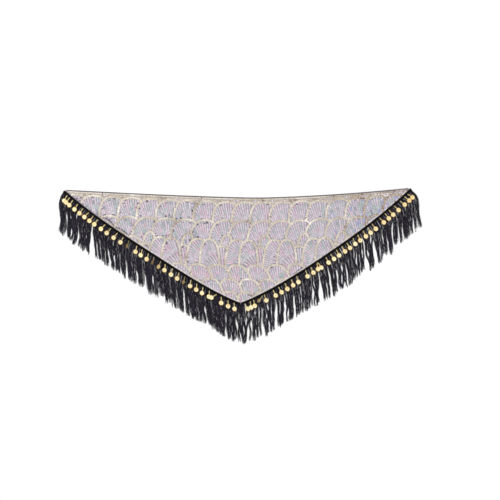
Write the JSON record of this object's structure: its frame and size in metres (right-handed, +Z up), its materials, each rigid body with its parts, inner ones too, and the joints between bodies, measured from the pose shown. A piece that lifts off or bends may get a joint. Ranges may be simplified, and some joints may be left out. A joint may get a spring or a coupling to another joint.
{
  "type": "belly dance hip scarf",
  "caption": "Triangular sequinned hip scarf laid flat, with a black braid, long yarn fringe and hanging gold coins along both lower edges.",
  "frame": {"origin": "middle of the outline seen from above, on the surface that the scarf lies on", "axes": "+X along the long top edge, towards the corner on the right in the picture; +Y from the lower point towards the long edge; +Z up, out of the sequinned face"},
  "size_m": [1.3198, 0.57, 0.0194],
  "materials": {
    "sequin_net": "pale lavender net covered with iridescent sequins, with cream-gold sequin outlines",
    "black_hem": "narrow rolled hem of black thread",
    "black_braid": "dense matte black braid",
    "black_fringe": "black twisted yarn with a soft sheen",
    "gold_coin": "bright pale gold plating on stamped metal"
  },
  "bodies": {
    "root": {"cloth": "sequin_net", "top_hem": "black_hem", "braid_left": "black_braid", "braid_right": "black_braid", "fringe_left": "black_fringe", "fringe_right": "black_fringe", "coin_left_01": "gold_coin", "coin_left_04": "gold_coin", "coin_left_05": "gold_coin", "coin_left_06": "gold_coin", "coin_left_07": "gold_coin", "coin_left_08": "gold_coin", "coin_left_09": "gold_coin", "coin_left_10": "gold_coin", "coin_left_11": "gold_coin", "coin_left_12": "gold_coin", "coin_left_13": "gold_coin", "coin_left_14": "gold_coin", "coin_left_15": "gold_coin", "coin_left_16": "gold_coin", "coin_left_17": "gold_coin", "coin_left_18": "gold_coin", "coin_left_19": "gold_coin", "coin_left_20": "gold_coin", "coin_left_21": "gold_coin", "coin_left_22": "gold_coin", "coin_left_23": "gold_coin", "coin_left_24": "gold_coin", "coin_left_25": "gold_coin", "coin_left_26": "gold_coin", "coin_left_28": "gold_coin", "coin_left_29": "gold_coin", "coin_left_30": "gold_coin", "coin_right_01": "gold_coin", "coin_right_03": "gold_coin", "coin_right_04": "gold_coin", "coin_right_05": "gold_coin", "coin_right_06": "gold_coin", "coin_right_07": "gold_coin", "coin_right_08": "gold_coin", "coin_right_09": "gold_coin", "coin_right_10": "gold_coin", "coin_right_11": "gold_coin", "coin_right_12": "gold_coin", "coin_right_13": "gold_coin", "coin_right_14": "gold_coin", "coin_right_15": "gold_coin", "coin_right_16": "gold_coin", "coin_right_17": "gold_coin", "coin_right_18": "gold_coin", "coin_right_20": "gold_coin", "coin_right_21": "gold_coin", "coin_right_22": "gold_coin", "coin_right_23": "gold_coin", "coin_right_24": "gold_coin", "coin_right_25": "gold_coin", "coin_right_26": "gold_coin", "coin_right_27": "gold_coin", "coin_right_28": "gold_coin", "coin_right_29": "gold_coin"}
  },
  "joints": []
}
